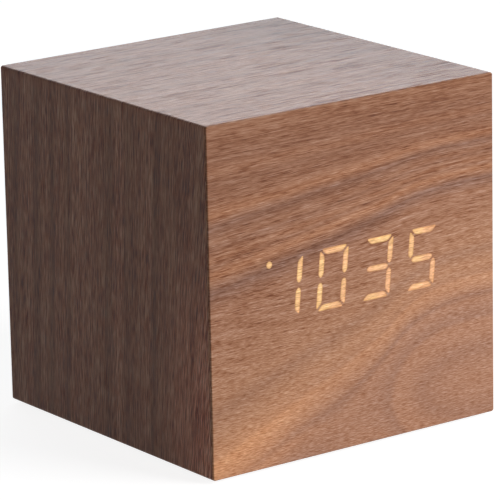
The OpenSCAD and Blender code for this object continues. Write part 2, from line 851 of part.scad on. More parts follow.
// A lead from the back of the battery box, behind cell k, round to the control board.
module battery_lead(k, x) {
    start = [x, box_back, cell_z(k)];
    end = [x - lead_shift, control_back, control_z - control_h / 4];
    inward = [0, -1, 0];
    points = bent_route(start, end, [inward, inward], 2 * lead_d, lead_bends, LEAD_STEPS);
    tube(points, [for (p = points) [1, 0, 0]], lead_d, LEAD_SIDES);
}

lead_x = bay_w / 2 - lead_inset;

module red_lead() {
    color("#b3261e") battery_lead(0, lead_x);
}

module black_lead() {
    color("#141416") battery_lead(CELL_COUNT - 1, lead_x + lead_pitch);
}

module ribbon_cable() {
    points = bent_route([control_back - plug_l, control_z], [display_back + plug_l, front_plug_z],
                        [[-1, 0], [1, 0]], 2 * ribbon_t, ribbon_bends, RIBBON_STEPS);
    last = len(points) - 1;
    side = [for (i = [0:last]) let (t = tangent(points, i)) [-t.y, t.x] * ribbon_t / 2];
    color("#9aa0a6") translate([ribbon_x - ribbon_w / 2, 0, 0])
        rotate([90, 0, 90]) linear_extrude(ribbon_w)
            polygon(concat(points + side, [for (i = [last:-1:0]) points[i] - side[i]]));
}

module ribbon_plug(y0, z) {
    color("#e9e6dc") extrude_y(y0, y0 + plug_l)
        translate([ribbon_x, z]) square(plug_size, center = true);
}

module front_ribbon_plug() ribbon_plug(display_back, front_plug_z);
module rear_ribbon_plug() ribbon_plug(control_back - plug_l, control_z);

veneer_wrap();
top_board();
bottom_board();
left_board();
right_board();
front_board();
front_veneer();
lit_segments();
diffuser_film();
light_mask();
segment_leds();
display_board();
display_screws();
clock_chip();
quartz_crystal();
corner_block_top_left();
corner_block_top_right();
corner_block_bottom_left();
corner_block_bottom_right();
rear_cover();
rear_cover_screws();
control_board();
control_board_screws();
buzzer();
set_button();
up_button();
down_button();
set_plunger();
up_plunger();
down_plunger();
set_switch();
up_switch();
down_switch();
socket_shell();
socket_tongue();
battery_box();
battery_cell_lower();
battery_cell_middle();
battery_cell_upper();
battery_contacts();
battery_springs();
battery_door();
red_lead();
black_lead();
ribbon_cable();
front_ribbon_plug();
rear_ribbon_plug();
foot_front_left();
foot_front_right();
foot_back_left();
foot_back_right();
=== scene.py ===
"""Looks of the wooden cube alarm clock: walnut veneer, lit figures, black plastic back, studio and camera.

Lengths in names that end in _MM, and all lengths inside the materials, are millimetres at rest.
"""
import json
import math

import bmesh
import bpy
from mathutils import Matrix, Vector
from mathutils.geometry import delaunay_2d_cdt


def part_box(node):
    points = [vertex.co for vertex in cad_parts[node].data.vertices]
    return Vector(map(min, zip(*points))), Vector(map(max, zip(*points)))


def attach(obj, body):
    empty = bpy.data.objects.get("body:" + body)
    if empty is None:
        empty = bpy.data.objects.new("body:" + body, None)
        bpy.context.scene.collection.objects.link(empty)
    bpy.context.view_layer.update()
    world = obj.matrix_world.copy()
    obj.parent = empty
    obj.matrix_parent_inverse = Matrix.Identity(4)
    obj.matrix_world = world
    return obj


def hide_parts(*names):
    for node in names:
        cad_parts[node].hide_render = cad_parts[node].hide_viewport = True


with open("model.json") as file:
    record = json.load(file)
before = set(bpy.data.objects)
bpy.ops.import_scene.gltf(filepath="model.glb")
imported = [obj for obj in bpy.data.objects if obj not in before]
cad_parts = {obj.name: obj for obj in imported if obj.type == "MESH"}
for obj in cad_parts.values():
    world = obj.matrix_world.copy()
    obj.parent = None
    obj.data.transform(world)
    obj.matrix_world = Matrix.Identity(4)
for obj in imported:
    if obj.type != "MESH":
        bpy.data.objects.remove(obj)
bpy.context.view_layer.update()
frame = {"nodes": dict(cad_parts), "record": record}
nodes = frame["nodes"]

MM = 0.001
IMAGE_PIXELS = 500


def linear(red, green, blue):
    """Scene-linear RGBA of an sRGB colour that is written from 0 to 255."""
    def channel(value):
        value = value / 255
        return value / 12.92 if value <= 0.04045 else ((value + 0.055) / 1.055) ** 2.4
    return (channel(red), channel(green), channel(blue), 1.0)


# Materials

DARKEST_TONE = 0.15


class Shade:
    """A material with one Principled shader. Its calls take sockets or plain values and return sockets."""

    def __init__(self, name, **values):
        self.material = bpy.data.materials.new(name)
        self.material.use_nodes = True
        self.nodes = self.material.node_tree.nodes
        self.links = self.material.node_tree.links
        self.shader = self.nodes["Principled BSDF"]
        for key, value in values.items():
            self.shader.inputs[key.replace("_", " ")].default_value = value

    def feed(self, socket, value):
        if isinstance(value, bpy.types.NodeSocket):
            self.links.new(value, socket)
        else:
            socket.default_value = value

    def node(self, kind, inputs=None, **settings):
        made = self.nodes.new(kind)
        for name, value in settings.items():
            setattr(made, name, value)
        for key, value in (inputs or {}).items():
            self.feed(made.inputs[key], value)
        return made

    def set(self, socket_name, value):
        self.feed(self.shader.inputs[socket_name], value)

    def math(self, operation, a, b=0.0, c=0.0):
        return self.node("ShaderNodeMath", {0: a, 1: b, 2: c}, operation=operation).outputs[0]

    def place(self):
        """x, y and z of a surface point at rest, in millimetres."""
        coords = self.node("ShaderNodeTexCoord").outputs["Object"]
        scaled = self.node("ShaderNodeVectorMath", {0: coords, "Scale": 1 / MM}, operation="SCALE")
        split = self.node("ShaderNodeSeparateXYZ", {0: scaled.outputs[0]})
        return split.outputs[0], split.outputs[1], split.outputs[2]

    def vector(self, x, y, z):
        return self.node("ShaderNodeCombineXYZ", {0: x, 1: y, 2: z}).outputs[0]

    def stretched(self, x, y, z, per_x, per_y, per_z, seed=0.0):
        """A point scaled by a number of features per millimetre on each axis, moved by a seed."""
        point = self.vector(x, y, z)
        made = self.node("ShaderNodeVectorMath", {0: point, 1: (per_x, per_y, per_z),
                                                  2: (seed, seed * 1.7, seed * 2.3)},
                         operation="MULTIPLY_ADD")
        return made.outputs[0]

    def noise(self, point, detail=2.0, roughness=0.5):
        made = self.node("ShaderNodeTexNoise", {"Vector": point, "Scale": 1.0, "Detail": detail,
                                                "Roughness": roughness})
        return made.outputs[0]

    def grain(self, along, line, per_along, per_line, seed, detail, roughness=0.5):
        """Noise along and across the grain, with so many features in a millimetre each way."""
        point = self.stretched(along, line, 0.0, per_along, per_line, 1.0, seed)
        return self.noise(point, detail, roughness)

    def around(self, noise, reach):
        """A noise, moved to lie around 0 and scaled to a reach."""
        return self.math("MULTIPLY", self.math("SUBTRACT", noise, 0.5), reach)

    def cells(self, point):
        made = self.node("ShaderNodeTexVoronoi", {"Vector": point, "Scale": 1.0})
        return made.outputs["Distance"]

    def step(self, value, low, high, start=0.0, end=1.0):
        """Eases from start to end while value goes from low to high."""
        made = self.node("ShaderNodeMapRange", {0: value, 1: low, 2: high, 3: start, 4: end},
                         interpolation_type="SMOOTHSTEP")
        return made.outputs[0]

    def band(self, value, middle, half, soft):
        """1 where value lies within half of middle, and 0 from soft further out."""
        away = self.math("ABSOLUTE", self.math("SUBTRACT", value, middle))
        return self.step(away, half, half + soft, 1.0, 0.0)

    def curve(self, value, points):
        """A smooth curve through points, both from 0 to 1."""
        made = self.node("ShaderNodeFloatCurve", {"Factor": 1.0, "Value": value})
        line = made.mapping.curves[0]
        for spare in range(len(points) - 2):
            line.points.new(0.5, 0.5)
        for point, (x, y) in zip(line.points, points):
            point.location = (x, y)
        made.mapping.update()
        return made.outputs[0]

    def ramp(self, value, stops):
        """Colour along stops, which are pairs of a place from 0 to 1 and a colour."""
        made = self.node("ShaderNodeValToRGB", {0: value})
        elements = made.color_ramp.elements
        for place, colour in stops[2:]:
            elements.new(place)
        for element, (place, colour) in zip(elements, stops):
            element.position = place
            element.color = colour
        return made.outputs[0]

    def mix(self, factor, a, b):
        made = self.node("ShaderNodeMix", data_type="RGBA")
        self.feed(made.inputs[0], factor)
        self.feed(made.inputs[6], a)
        self.feed(made.inputs[7], b)
        return made.outputs[2]

    def tint(self, colour, factor):
        """A colour times a number."""
        if isinstance(colour, tuple):
            colour = colour[:3]
        made = self.node("ShaderNodeVectorMath", {0: colour, "Scale": factor}, operation="SCALE")
        return made.outputs[0]

    def toned(self, colour, tone, green_power, blue_power):
        """A colour times a tone. With powers above 1, dark grain is redder and pale grain greyer."""
        tone = self.math("MAXIMUM", tone, DARKEST_TONE)
        green = self.math("POWER", tone, green_power)
        blue = self.math("POWER", tone, blue_power)
        channels = self.vector(tone, green, blue)
        return self.node("ShaderNodeVectorMath", {0: colour, 1: channels}, operation="MULTIPLY").outputs[0]

    def total(self, *terms):
        """The sum of terms, each a number, a socket or a pair of a socket and its weight."""
        result = None
        for term in terms:
            if isinstance(term, tuple):
                term = self.math("MULTIPLY", term[0], term[1])
            result = term if result is None else self.math("ADD", result, term)
        return result

    def bump(self, height, depth_mm, strength=1.0, edge_mm=0.0):
        """Fine relief. Where edge_mm is set, edges also shine as if rounded by that much."""
        made = self.node("ShaderNodeBump", {"Strength": strength, "Distance": depth_mm * MM,
                                            "Height": height})
        if edge_mm:
            rounded = self.node("ShaderNodeBevel", {"Radius": edge_mm * MM}, samples=6)
            self.feed(made.inputs["Normal"], rounded.outputs[0])
        self.set("Normal", made.outputs[0])


# Walnut. Each point has a place along the grain and a grain line, both in millimetres.

CASE_LOW_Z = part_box("veneer_wrap")[0].z / MM
CASE_TOP_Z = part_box("veneer_wrap")[1].z / MM
CASE_SIDE_MM = CASE_TOP_Z - CASE_LOW_Z
HALF_SIDE_MM = CASE_SIDE_MM / 2
WALNUT_GLOSS = 0.17
# White that the satin varnish adds to the wood's colour as it is seen from the front
VARNISH_VEIL = 0.014

# Grain lines of the front rise to the right, steeply low down and hardly at the top.
GRAIN_RISE_MM = 31.0
GRAIN_CLOSING = 0.41
GRAIN_RISE_CURVE = [(0.0, 0.0), (0.25, 0.28), (0.56, 0.65), (0.78, 0.96), (1.0, 1.0)]
# Low on the right they turn back under a rounded arch.
ARCH_HEIGHT_MM = 9.0
ARCH_ROUND_MM = 16.0
ARCH_RETURN = 2.0
ARCH_FROM_MM = -20.0
ARCH_FULL_MM = 10.0

# Colour of the front by grain line, and how much darker or lighter single lines are
FRONT_COLOURS = [
    (-52, (175, 129, 104)), (-6, (178, 131, 105)), (10, (182, 134, 104)), (36, (165, 118, 92)),
    (72, (147, 102, 78)), (84, (150, 104, 78)),
]
FRONT_LINES = [
    (-52, 1.02), (-34, 1.04), (-28, 1.0), (-23.5, 0.89), (-19, 1.02), (-14.5, 1.03), (-12, 0.86), (-5.6, 1.0),
    (-3.6, 0.83), (-1.8, 1.0), (1, 1.13), (3.2, 1.17), (5, 1.0), (9, 1.03), (14.5, 0.87), (18, 0.99),
    (32, 0.96), (38, 0.98), (42.6, 0.68), (44.2, 0.91), (46.5, 1.22), (48.5, 0.94), (50, 1.08), (52.5, 0.88),
    (54, 1.0), (57.5, 0.76), (60, 1.19), (63, 0.97), (67, 0.91), (69.5, 1.05), (72, 0.93), (84, 1.0),
]
# How far the lines wander, broadly and finely
FRONT_WAVER_MM = 1.8
FRONT_RIPPLE_MM = 1.0
# A few lines are paler in the front's low left corner.
PALE_CORNER_TONE = 0.30
# Fine streaks lie nearly level, and rise a little across the middle of the front.
FINE_RISE_MM = 6.0
FINE_RISE_HEIGHT_MM = 55.0
# They are weaker low down. High up they are longer, as if they ran over this share of the way.
FRONT_LOW_STREAKS = 0.32
FRONT_HIGH_STREAKS = 0.95
FRONT_HIGH_SHORTENING = 0.6
# Powers of green and blue that turn dark and pale grain to other hues
FRONT_LINE_POWERS = (0.90, 0.52)
FRONT_FINE_POWERS = (1.55, 2.1)

# The wrap's own colour, the colour that it turns to low on the left beside the front, and the colour of the
# narrow strip along its front edges
WRAP_COLOUR = (148, 96, 72)
WRAP_REDDISH = (190, 120, 92)
EDGE_COLOUR = (160, 101, 72)
EDGE_WIDTH_MM = 0.9
EDGE_SOFT_MM = 0.4
# Grain lines of the wrap, by their Y at the top edges
WRAP_LINES = [
    (-56, 1.10), (-43, 1.14), (-40.3, 0.92), (-37, 1.08), (-30, 0.96), (-24, 0.94), (-22, 0.56), (-20, 1.20),
    (-14, 0.92), (-11, 0.78), (-8, 1.36), (-6, 1.10), (-4, 0.66), (-1, 1.0), (8, 1.20), (11, 1.16),
    (12.5, 0.70), (14.5, 1.08), (17.5, 1.12), (19, 0.58), (21, 1.14), (23.5, 0.95), (25, 0.58), (28, 1.16),
    (32, 1.02), (34, 0.66), (37, 0.98), (42, 0.90),
]
# The lines lean forwards as they run down the sides, most of all beside the front.
WRAP_LEAN = 0.05
WRAP_FRONT_LEAN = 0.15
WRAP_WAVER_MM = 2.5
TOP_LINE_POWERS = (1.3, 1.6)
SIDE_LINE_POWERS = (1.22, 1.42)
WRAP_FINE_POWERS = (1.75, 2.15)
# Strength of the wrap's fine streaks, which are longer than the front's and level off where they are pale
TOP_STREAKS = 2.3
LEFT_STREAKS = 4.0
RIGHT_STREAKS = 1.9
REAR_EDGE_STREAKS = 0.8
WRAP_SHORTENING = 0.42
PALEST_TONE = 2.0
# Depth of its short dark dashes
TOP_DASHES = 0.42
SIDE_DASHES = 0.12
# Painted light and shade: the top is painted paler towards the front, darker towards the rear, and darker at
# its right side, as the light falls on it.
PAINTED_TOP_FRONT_LIGHT = 0.16
PAINTED_TOP_REAR_SHADE = -0.16
PAINTED_TOP_RIGHT_SHADE = -0.36

# Light of the figures where it is yellower and where it is peachier, and their wood
FIGURE_YELLOW = (230, 189, 130)
FIGURE_PEACH = (221, 169, 125)
FIGURE_WOOD = (120, 84, 60)
# Strength of the light, and how much of it shows at a bar's rim and in its core
FIGURE_GLOW = 0.93
FIGURE_RIM = 0.66
FIGURE_CORE = 1.02
FIGURE_POWERS = (1.35, 1.7)


def lines_ramp(shade, line, stops):
    """Colours or tones along the grain lines. Each stop is a line and its colour."""
    low = stops[0][0]
    reach = stops[-1][0] - low
    factor = shade.math("DIVIDE", shade.math("SUBTRACT", line, low), reach)
    return shade.ramp(factor, [((place - low) / reach, colour) for place, colour in stops])


def tones(lines):
    return [(place, (tone, tone, tone, 1.0)) for place, tone in lines]


def under_varnish(rgb):
    """The wood's own colour where rgb is what is seen through its varnish."""
    return tuple(value - VARNISH_VEIL for value in linear(*rgb)[:3]) + (1.0,)


def walnut_streaks(shade, along, line, across, weight):
    """Fine grain as a number around 1, and its pores alone.

    Streaks, pores and flecks follow the grain lines and have a weight. The short speckle follows across.
    """
    broad = shade.grain(along, line, 0.03, 0.5, 3.1, 2.0, 0.55)
    long_thin = shade.grain(along, line, 0.14, 2.5, 7.7, 3.0, 0.62)
    pores = shade.step(shade.grain(along, line, 0.3, 4.5, 19.9, 1.0, 0.55), 0.58, 0.70)
    flecks = shade.step(shade.grain(along, line, 0.4, 4.5, 31.7, 1.0, 0.55), 0.58, 0.72)
    speckle = shade.grain(along, across, 0.6, 5.0, 11.3, 2.0, 0.55)
    streaks = shade.total(-1.02, (broad, 0.45), (long_thin, 1.59), (pores, -0.37), (flecks, 0.37))
    tone = shade.total(0.25, (streaks, weight), (speckle, 1.50))
    return tone, pores


def finish_walnut(shade, colour, tone, pores, green_power, blue_power):
    """Colour with its fine grain, gloss and relief of the wood."""
    shade.set("Base Color", shade.toned(colour, tone, green_power, blue_power))
    shade.set("Roughness", shade.total(0.38, (tone, 0.05), (pores, 0.25)))
    shade.bump(shade.total((tone, 0.5), (pores, -0.8)), 0.025, 0.6)


def under_arch(shade, x, height):
    """Heights on the front, folded back below the arch low on the right."""
    below = shade.math("SUBTRACT", ARCH_HEIGHT_MM, height)
    below_arch = shade.math("SMOOTH_MAX", below, 0.0, ARCH_ROUND_MM)
    turned = shade.math("MULTIPLY", below_arch, shade.step(x, ARCH_FROM_MM, ARCH_FULL_MM))
    return shade.total(height, (turned, ARCH_RETURN))


def front_rise(shade, x):
    """How far the front's lines have risen, from 0 at its left to 1 at its right."""
    from_left = shade.math("DIVIDE", shade.math("ADD", x, HALF_SIDE_MM), CASE_SIDE_MM)
    return shade.curve(from_left, GRAIN_RISE_CURVE)


def front_fine_line(shade, x, height):
    """The line that fine streaks follow at a point on the front."""
    lifted = shade.band(height, FINE_RISE_HEIGHT_MM, 4.0, 16.0)
    rise = shade.math("MULTIPLY", front_rise(shade, x), lifted)
    return shade.math("SUBTRACT", height, shade.math("MULTIPLY", rise, FINE_RISE_MM))


def front_grain_line(shade, x, height):
    """The grain line of a point on the front: its height at the left edge, where the lines start."""
    rise = front_rise(shade, x)
    above = shade.math("SUBTRACT", height, shade.math("MULTIPLY", rise, GRAIN_RISE_MM))
    closing = shade.math("SUBTRACT", 1.0, shade.math("MULTIPLY", rise, GRAIN_CLOSING))
    return shade.math("DIVIDE", above, closing)


def make_walnut_front():
    shade = Shade("walnut_front", Specular_IOR_Level=WALNUT_GLOSS)
    x, _, z = shade.place()
    height = shade.math("SUBTRACT", z, CASE_LOW_Z)
    line = front_grain_line(shade, x, height)
    arched = front_grain_line(shade, x, under_arch(shade, x, height))
    waver = shade.grain(x, line, 0.05, 0.10, 5.5, 3.0)
    ripple = shade.grain(x, line, 0.16, 0.35, 9.5, 2.0)
    wavy = shade.total(arched, shade.around(waver, FRONT_WAVER_MM), shade.around(ripple, FRONT_RIPPLE_MM))
    colour = lines_ramp(shade, wavy, [(place, under_varnish(rgb)) for place, rgb in FRONT_COLOURS])
    at_left = shade.step(x, -34.0, -4.0, 1.0, 0.0)
    pale_corner = shade.math("MULTIPLY", at_left, shade.band(wavy, -1.0, 4.0, 7.0))
    lines = shade.total(lines_ramp(shade, wavy, tones(FRONT_LINES)), (pale_corner, PALE_CORNER_TONE))
    lined = shade.toned(colour, lines, *FRONT_LINE_POWERS)
    fine = front_fine_line(shade, x, height)
    along = shade.math("MULTIPLY", x, shade.step(height, 30.0, 60.0, 1.0, FRONT_HIGH_SHORTENING))
    weight = shade.step(line, 0.0, 45.0, FRONT_LOW_STREAKS, FRONT_HIGH_STREAKS)
    tone, pores = walnut_streaks(shade, along, fine, height, weight)
    finish_walnut(shade, lined, tone, pores, *FRONT_FINE_POWERS)
    return shade.material


def wrap_grain(shade, x, y, drop):
    """Place along the grain, grain line, and the line with its waver.

    drop is how far a point lies below the top.
    """
    down_side = shade.math("MULTIPLY", drop, shade.math("SIGN", x))
    along = shade.math("MULTIPLY", shade.math("ADD", x, down_side), WRAP_SHORTENING)
    lean = shade.step(y, -HALF_SIDE_MM, -10.0, WRAP_FRONT_LEAN, WRAP_LEAN)
    line = shade.math("SUBTRACT", y, shade.math("MULTIPLY", drop, lean))
    waver = shade.grain(along, line, 0.03, 0.06, 2.5, 3.0)
    return along, line, shade.total(line, shade.around(waver, WRAP_WAVER_MM))


def wrap_colour(shade, x, y, drop, wavy):
    """Colour of the wrap without its fine streaks, and with painted light and shade on its top."""
    beside_front = shade.step(wavy, -52.0, -20.0, 1.0, 0.0)
    low_down = shade.step(drop, 15.0, 60.0)
    on_left = shade.step(x, -1.0, 1.0, 1.0, 0.0)
    reddish = shade.math("MULTIPLY", beside_front, shade.math("MULTIPLY", low_down, on_left))
    colour = shade.mix(reddish, linear(*WRAP_COLOUR), linear(*WRAP_REDDISH))
    lines = shade.math("SUBTRACT", lines_ramp(shade, wavy, tones(WRAP_LINES)), 1.0)
    # Painted light and shade on top: paler towards the front, darker towards the rear and at the right side.
    painted_light_to_rear = shade.step(y, -HALF_SIDE_MM, HALF_SIDE_MM, PAINTED_TOP_FRONT_LIGHT, PAINTED_TOP_REAR_SHADE)
    painted_top_light = shade.total(painted_light_to_rear, (shade.step(x, 0.0, HALF_SIDE_MM), PAINTED_TOP_RIGHT_SHADE))
    line_strength = shade.step(drop, 0.0, 12.0, 0.5, 1.0)
    on_top = shade.step(drop, 0.0, 2.0, 1.0, 0.0)
    lines_and_painted_light = shade.total(1.0, (lines, line_strength), (painted_top_light, on_top))
    green_power = shade.step(drop, 0.0, 3.0, TOP_LINE_POWERS[0], SIDE_LINE_POWERS[0])
    blue_power = shade.step(drop, 0.0, 3.0, TOP_LINE_POWERS[1], SIDE_LINE_POWERS[1])
    lined = shade.toned(colour, lines_and_painted_light, green_power, blue_power)
    strip_end = -HALF_SIDE_MM + EDGE_WIDTH_MM
    strip = shade.step(y, strip_end, strip_end + EDGE_SOFT_MM, 0.8, 0.0)
    return shade.mix(strip, lined, linear(*EDGE_COLOUR))


def wrap_streaks(shade, x, y, drop, along, line):
    """Fine grain of the wrap as a number around 1, and its pores and dashes."""
    streaks, pores = walnut_streaks(shade, along, line, line, 0.55)
    dashes = shade.step(shade.grain(along, line, 0.15, 1.1, 14.2, 2.0), 0.56, 0.68)
    dark_dashes = shade.math("MULTIPLY", dashes, shade.step(drop, 0.3, 3.0, TOP_DASHES, SIDE_DASHES))
    on_side = shade.step(x, -1.0, 1.0, LEFT_STREAKS, RIGHT_STREAKS)
    strength = shade.step(drop, 0.0, 3.0, TOP_STREAKS, on_side)
    strength = shade.step(y, HALF_SIDE_MM - 0.3, HALF_SIDE_MM, strength, REAR_EDGE_STREAKS)
    tone = shade.total(1.03, (shade.math("SUBTRACT", streaks, 1.0), strength), (dark_dashes, -1.0))
    limited = shade.math("SMOOTH_MIN", tone, PALEST_TONE, 0.4)
    return limited, shade.math("MAXIMUM", pores, dark_dashes)


def make_walnut_wrap():
    """Veneer that is folded round the cube: its grain runs along X on top and on down the sides."""
    shade = Shade("walnut_wrap", Specular_IOR_Level=WALNUT_GLOSS)
    x, y, z = shade.place()
    drop = shade.math("SUBTRACT", CASE_TOP_Z, z)
    along, line, wavy = wrap_grain(shade, x, y, drop)
    colour = wrap_colour(shade, x, y, drop, wavy)
    tone, pores = wrap_streaks(shade, x, y, drop, along, line)
    finish_walnut(shade, colour, tone, pores, *WRAP_FINE_POWERS)
    return shade.material


def make_lit_figures():
    """Light that shines through the veneer: yellower and peachier places, the grain, and darker rims."""
    shade = Shade("lit_figures", Roughness=0.45, Specular_IOR_Level=WALNUT_GLOSS)
    x, _, z = shade.place()
    core = shade.node("ShaderNodeAttribute", attribute_name="core").outputs["Fac"]
    patches = shade.noise(shade.stretched(x, 0.0, z, 0.16, 1.0, 0.16, 4.4), 1.0)
    peachy = shade.total(-0.55, (patches, 1.6), (x, 0.010))
    colour = shade.mix(shade.step(peachy, 0.0, 0.55), linear(*FIGURE_YELLOW), linear(*FIGURE_PEACH))
    tone, _ = walnut_streaks(shade, x, z, z, 1.0)
    soft = shade.total(0.45, (tone, 0.55))
    rim = shade.step(core, 0.0, 1.0, FIGURE_RIM, FIGURE_CORE)
    shade.set("Base Color", shade.tint(linear(*FIGURE_WOOD), tone))
    shade.set("Emission Color", shade.toned(colour, shade.math("MULTIPLY", soft, rim), *FIGURE_POWERS))
    shade.set("Emission Strength", FIGURE_GLOW)
    return shade.material


# Other materials

def speckled(name, dark, light, per_mm, roughness, bump_mm):
    """A material with two tones in fine speckles and a faint cloudiness."""
    shade = Shade(name)
    x, y, z = shade.place()
    speckle = shade.noise(shade.stretched(x, y, z, per_mm, per_mm, per_mm, 1.3), 3.0, 0.6)
    cloud = shade.noise(shade.stretched(x, y, z, 0.12, 0.12, 0.12, 8.1), 2.0)
    mixed = shade.step(shade.total((speckle, 0.7), (cloud, 0.3)), 0.32, 0.68)
    shade.set("Base Color", shade.mix(mixed, dark, light))
    shade.set("Roughness", shade.total(roughness - 0.08, (mixed, 0.16)))
    shade.bump(speckle, bump_mm)
    return shade.material


def make_fibreboard():
    """Pressed wood fibres: short felted hairs in every direction, and darker flecks."""
    shade = Shade("fibreboard", Specular_IOR_Level=0.2)
    x, y, z = shade.place()
    hairs_across = shade.noise(shade.stretched(x, y, z, 5.0, 1.2, 0.7, 2.1), 3.0, 0.65)
    hairs_up = shade.noise(shade.stretched(x, y, z, 0.7, 1.2, 5.0, 6.2), 3.0, 0.65)
    cloud = shade.noise(shade.stretched(x, y, z, 0.2, 0.2, 0.2, 3.3), 2.0)
    fibres = shade.total((hairs_across, 0.4), (hairs_up, 0.4), (cloud, 0.2))
    flecks = shade.step(shade.noise(shade.stretched(x, y, z, 1.6, 1.6, 1.6, 12.0), 1.0), 0.66, 0.74)
    colour = shade.ramp(fibres, [(0.30, linear(104, 80, 58)), (0.50, linear(138, 110, 82)),
                                 (0.70, linear(164, 136, 104))])
    shade.set("Base Color", shade.mix(flecks, colour, linear(84, 60, 42)))
    shade.set("Roughness", shade.total(0.78, (fibres, 0.2)))
    shade.bump(fibres, 0.06)
    return shade.material


def make_pine():
    shade = Shade("pine", Specular_IOR_Level=0.25)
    x, y, z = shade.place()
    rings = shade.noise(shade.stretched(x, y, z, 0.6, 0.02, 0.6, 4.0), 2.0)
    fibres = shade.noise(shade.stretched(x, y, z, 3.0, 0.15, 3.0, 2.0), 3.0)
    tone = shade.total((rings, 0.6), (fibres, 0.4))
    shade.set("Base Color", shade.ramp(tone, [(0.3, linear(156, 120, 78)), (0.7, linear(206, 176, 128))]))
    shade.set("Roughness", shade.total(0.6, (fibres, 0.3)))
    shade.bump(fibres, 0.05)
    return shade.material


def make_black_plastic():
    """Moulded plastic with a fine spark-eroded grain and faint flow marks."""
    shade = Shade("black_plastic", Specular_IOR_Level=0.4)
    x, y, z = shade.place()
    grain = shade.cells(shade.stretched(x, y, z, 2.0, 2.0, 2.0, 1.0))
    fine = shade.noise(shade.stretched(x, y, z, 6.0, 6.0, 6.0, 2.0), 2.0)
    flow = shade.noise(shade.stretched(x, y, z, 0.05, 0.05, 0.03, 7.0), 3.0, 0.6)
    tone = shade.total((grain, 0.35), (fine, 0.25), (flow, 0.4))
    shade.set("Base Color", shade.ramp(tone, [(0.25, linear(24, 24, 26)), (0.65, linear(42, 42, 45))]))
    shade.set("Roughness", shade.total(0.42, (flow, 0.15), (fine, 0.1)))
    shade.bump(shade.total((grain, 0.7), (fine, 0.3)), 0.07, 0.8, edge_mm=0.3)
    return shade.material


def make_button_plastic():
    """Satin caps whose cut marks are filled with pale paint."""
    shade = Shade("button_plastic", Specular_IOR_Level=0.45)
    x, y, z = shade.place()
    face_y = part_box("up_button")[1].y / MM
    mark_depth = 0.3
    paint = shade.band(y, face_y - mark_depth, 0.03, 0.01)
    fine = shade.noise(shade.stretched(x, y, z, 5.0, 5.0, 5.0, 2.0), 2.0)
    handling = shade.noise(shade.stretched(x, y, z, 0.5, 0.5, 0.5, 6.0), 3.0)
    black = shade.ramp(shade.total((fine, 0.5), (handling, 0.5)),
                       [(0.3, linear(34, 34, 37)), (0.7, linear(52, 52, 56))])
    shade.set("Base Color", shade.mix(paint, black, linear(206, 204, 196)))
    shade.set("Roughness", shade.total(0.26, (handling, 0.22)))
    shade.bump(fine, 0.01, 0.5, edge_mm=0.3)
    return shade.material


def make_metal(name, dark, light, roughness):
    """Plated metal with fine scratches and slight staining."""
    shade = Shade(name, Metallic=1.0)
    x, y, z = shade.place()
    scratches = shade.noise(shade.stretched(x, y, z, 0.8, 6.0, 4.0, 3.0), 3.0, 0.6)
    stain = shade.noise(shade.stretched(x, y, z, 0.5, 0.5, 0.5, 9.0), 2.0)
    tone = shade.total((scratches, 0.5), (stain, 0.5))
    shade.set("Base Color", shade.ramp(tone, [(0.3, dark), (0.7, light)]))
    shade.set("Roughness", shade.total(roughness - 0.1, (scratches, 0.2)))
    shade.bump(scratches, 0.008, 0.4, edge_mm=0.15)
    return shade.material


def make_green_board():
    """Solder mask with thin tracks under it and tinned pads."""
    shade = Shade("green_board", Specular_IOR_Level=0.5)
    x, y, z = shade.place()
    lanes = shade.math("PINGPONG", z, 0.8)
    bends = shade.noise(shade.stretched(x, 0.0, z, 0.25, 1.0, 0.25, 3.0), 0.0)
    track = shade.math("MULTIPLY", shade.step(lanes, 0.46, 0.54), shade.step(bends, 0.46, 0.50))
    pads = shade.step(shade.cells(shade.stretched(x, 0.0, z, 0.35, 1.0, 0.35, 6.0)), 0.10, 0.13, 1.0, 0.0)
    weave = shade.noise(shade.stretched(x, y, z, 2.5, 2.5, 2.5, 1.0), 2.0)
    mask = shade.mix(track, linear(22, 74, 48), linear(38, 104, 66))
    toned = shade.tint(mask, shade.total(0.8, (weave, 0.4)))
    shade.set("Base Color", shade.mix(pads, toned, linear(196, 196, 190)))
    shade.set("Roughness", shade.total(0.28, (weave, 0.2)))
    shade.bump(shade.total((track, 0.6), (pads, 0.6), (weave, 0.2)), 0.04)
    return shade.material


def make_cell_jacket(name, way):
    """A dry cell: blue-grey jacket, pale positive end, bare metal ends. way is +1 or -1 along X."""
    shade = Shade(name, Specular_IOR_Level=0.5)
    x, y, z = shade.place()
    low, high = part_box("battery_cell_lower" if way > 0 else "battery_cell_middle")
    end = (high.x if way > 0 else low.x) / MM
    length = (high.x - low.x) / MM
    down = shade.math("MULTIPLY", shade.math("SUBTRACT", end, x), float(way))
    shoulder = 0.85
    pale_length = 8.0
    stripe_at = 9.2
    pale = shade.step(down, pale_length, pale_length + 0.1, 1.0, 0.0)
    line = shade.band(down, stripe_at, 0.3, 0.05)
    metal = shade.math("MAXIMUM", shade.step(down, shoulder, shoulder + 0.05, 1.0, 0.0),
                       shade.step(down, length - 0.06, length - 0.02))
    rub = shade.noise(shade.stretched(x, y, z, 0.3, 1.5, 1.5, 5.0), 3.0)
    jacket = shade.mix(pale, linear(74, 92, 108), linear(190, 193, 194))
    banded = shade.mix(line, jacket, linear(190, 193, 194))
    shade.set("Base Color", shade.tint(shade.mix(metal, banded, linear(200, 200, 202)),
                                       shade.total(0.85, (rub, 0.3))))
    shade.set("Metallic", shade.math("MAXIMUM", metal, 0.3))
    shade.set("Roughness", shade.total(0.24, (rub, 0.2)))
    shade.bump(rub, 0.01, 0.4)
    return shade.material


